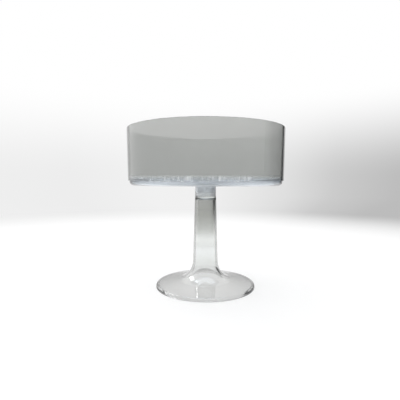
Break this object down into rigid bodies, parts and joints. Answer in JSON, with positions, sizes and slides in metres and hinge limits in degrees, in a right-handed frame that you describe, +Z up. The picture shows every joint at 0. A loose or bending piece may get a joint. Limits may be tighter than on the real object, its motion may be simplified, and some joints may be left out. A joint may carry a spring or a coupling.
{
  "type": "pedestal bowl",
  "caption": "Clear straight-sided bowl with a stacking ledge, which lifts off a hollow tapered stem with a flared round foot.",
  "frame": {"origin": "middle of the circle that the foot stands on, at table level", "axes": "+Z up along the axis of the stem and the bowl; the object is the same all round, so +X and +Y are any two directions across it"},
  "size_m": [0.2, 0.2, 0.2028],
  "materials": {
    "clear_bowl": "clear moulded polystyrene, polished, faint blue in its thick edges",
    "clear_pedestal": "clear moulded polystyrene, polished, faint green-grey in its thick edges"
  },
  "bodies": {
    "pedestal": {"pedestal": "clear_pedestal"},
    "bowl": {"bowl": "clear_bowl"}
  },
  "joints": [
    {"name": "bowl_lift", "type": "slide", "parent": "pedestal", "child": "bowl", "axis": [0, 0, 1], "range_m": [0, 0.03]}
  ]
}
